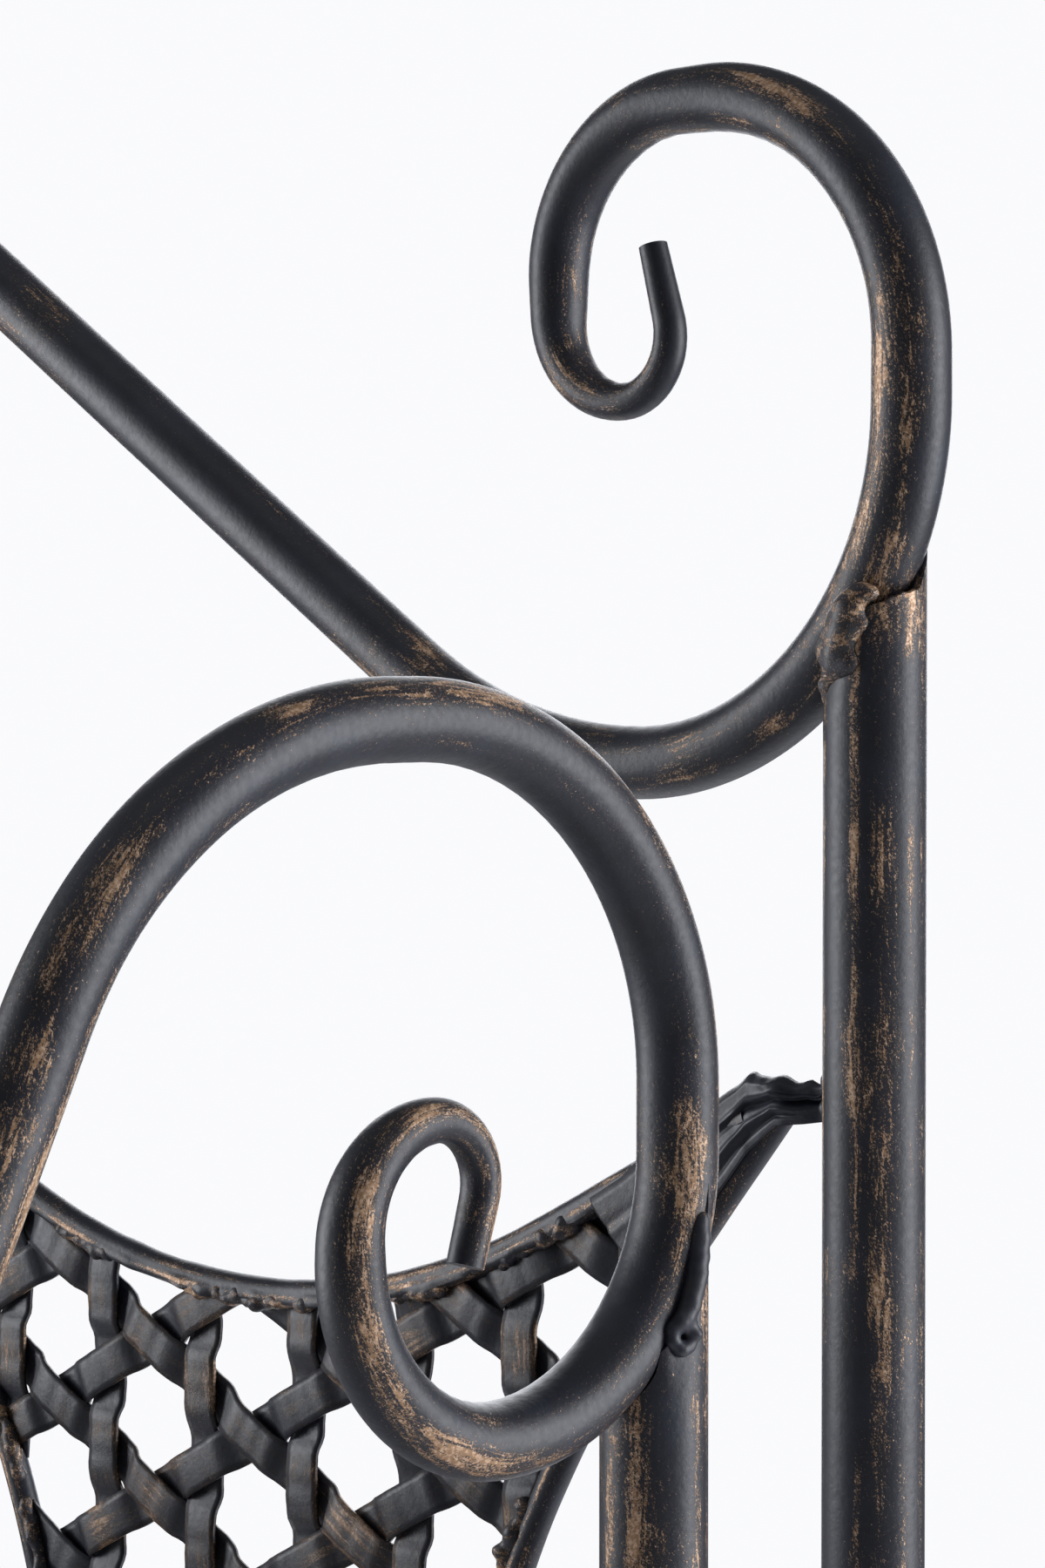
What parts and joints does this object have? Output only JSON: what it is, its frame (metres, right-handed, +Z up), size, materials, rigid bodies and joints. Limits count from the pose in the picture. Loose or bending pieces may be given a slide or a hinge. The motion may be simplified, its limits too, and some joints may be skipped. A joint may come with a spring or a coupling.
{
  "type": "garden bench",
  "caption": "Garden bench with an arched trellis back: bent and welded steel tube, woven strip panels and seat, scrolled arms and rail ends.",
  "frame": {"origin": "on the floor, under the middle of the bench's overall box", "axes": "+X to the sitter's left, which is right as seen from the front; +Y to the back; +Z up. The seat faces -Y."},
  "size_m": [0.929, 0.445, 0.8902],
  "materials": {
    "tube": "satin charcoal black with dry-brushed bronze on ridges",
    "strip": "satin charcoal black with bronze-brushed edges",
    "weld": "satin, heavily brushed with bronze",
    "foot": "matt black"
  },
  "bodies": {
    "root": {"back_post_right": "tube", "back_post_left": "tube", "centre_post": "tube", "top_rail": "tube", "panel_frame_right": "tube", "panel_frame_left": "tube", "upright_strips_right": "strip", "rising_strips_right": "strip", "falling_strips_right": "strip", "upright_strips_left": "strip", "rising_strips_left": "strip", "falling_strips_left": "strip", "corner_gussets": "tube", "arm_right": "tube", "arm_left": "tube", "arm_post_right": "tube", "arm_post_left": "tube", "seat_front_rail": "tube", "seat_rear_rail": "tube", "seat_side_rail_right": "tube", "seat_side_rail_left": "tube", "seat_cross_bars": "tube", "seat_straight_strips": "strip", "seat_rising_strips": "strip", "seat_falling_strips": "strip", "side_stretcher_right": "tube", "side_stretcher_left": "tube", "rail_welds": "weld", "arm_welds": "weld", "panel_welds": "weld", "back_foot_cap_right": "foot", "back_foot_cap_left": "foot", "front_foot_cap_right": "foot", "front_foot_cap_left": "foot"}
  },
  "joints": []
}
